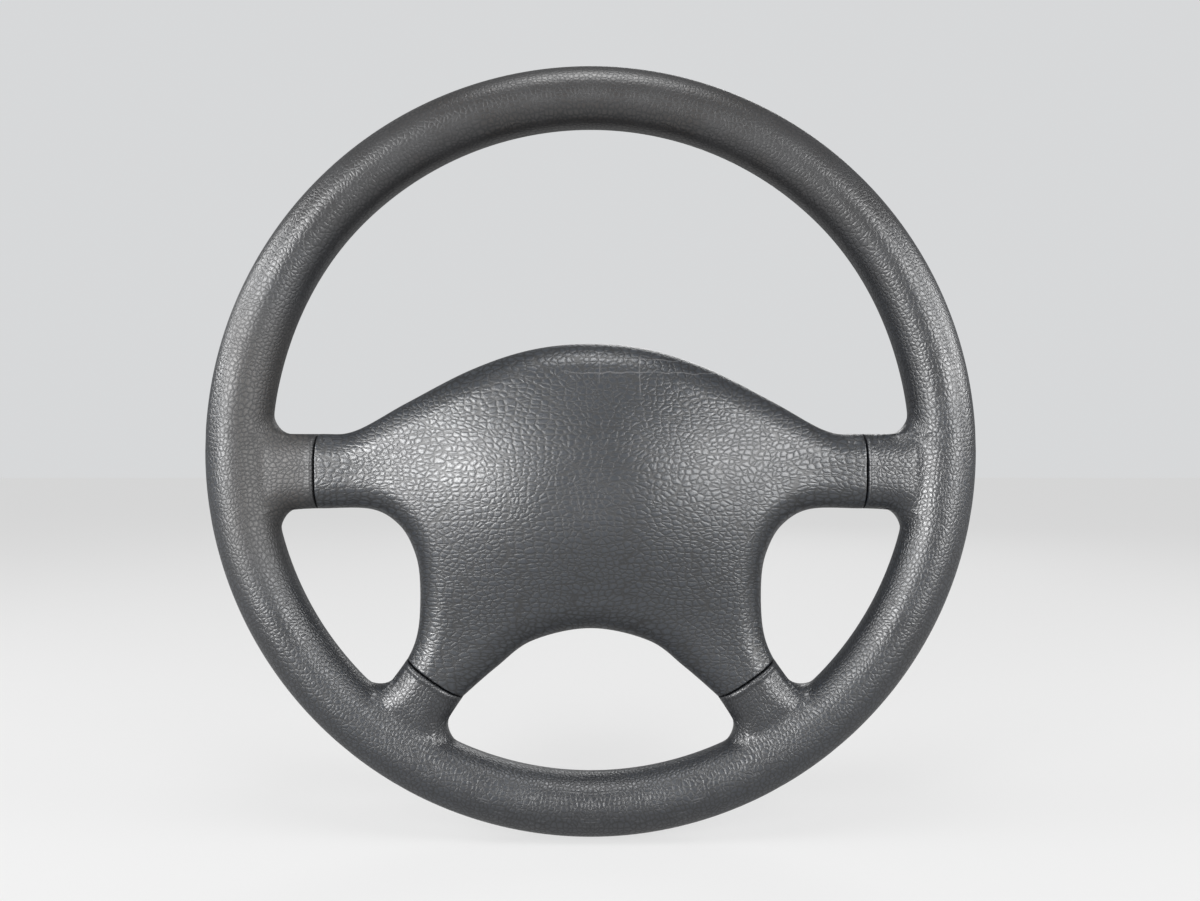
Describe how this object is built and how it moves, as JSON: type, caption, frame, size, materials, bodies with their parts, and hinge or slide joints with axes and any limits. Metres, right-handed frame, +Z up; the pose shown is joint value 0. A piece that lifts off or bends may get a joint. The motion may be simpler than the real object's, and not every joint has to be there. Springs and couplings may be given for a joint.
{
  "type": "car steering wheel",
  "caption": "Four-spoke steering wheel with a grained soft rim, cast core, splined hub and a floating airbag horn pad.",
  "frame": {"origin": "on the column axis at the rear face of the hub insert", "axes": "+Y along the column axis towards the column, away from the driver; +Z up with the wheel straight ahead; +X to the driver's right"},
  "size_m": [0.385, 0.1005, 0.385],
  "materials": {
    "rim_foam": "grained polyurethane, satin",
    "pad_skin": "leather-grained soft plastic, satin",
    "black_plastic": "fine texture",
    "cast_alloy": "as cast",
    "steel": "satin",
    "zinc": "zinc plated",
    "spring_steel": "drawn wire",
    "brass": "brass",
    "nylon": "natural nylon",
    "airbag_cloth": "woven, folded",
    "propellant": "pressed grains"
  },
  "bodies": {
    "wheel": {"foam_rim": "rim_foam", "armature": "cast_alloy", "hub_insert": "steel", "rear_cover": "black_plastic", "rear_cover_screws": "zinc", "horn_base_plate": "zinc", "base_plate_screws": "zinc", "guide_bush_left": "nylon", "guide_bush_right": "nylon", "horn_spring_1": "spring_steel", "horn_spring_2": "spring_steel", "horn_spring_3": "spring_steel", "horn_spring_4": "spring_steel", "fixed_contacts": "brass"},
    "airbag_module": {"pad_cover": "pad_skin", "pad_frame": "black_plastic", "module_frame": "steel", "retainer_ring": "zinc", "airbag_cushion": "airbag_cloth", "inflator_base": "steel", "inflator_cap": "steel", "inflator_filter": "spring_steel", "inflator_igniter": "brass", "inflator_propellant": "propellant", "inflator_nuts": "zinc", "cover_rivets": "zinc", "sleeve_left": "zinc", "sleeve_right": "zinc", "module_bolts": "steel", "module_nuts": "zinc", "horn_top_plate": "zinc", "moving_contacts": "brass"}
  },
  "joints": [
    {"name": "horn_press", "type": "slide", "parent": "wheel", "child": "airbag_module", "axis": [0, 1, 0], "range_m": [0, 0.002], "stiffness_N_per_m": 8000, "springref_m": -0.002, "deforming": ["horn_spring_1", "horn_spring_2", "horn_spring_3", "horn_spring_4"]}
  ]
}
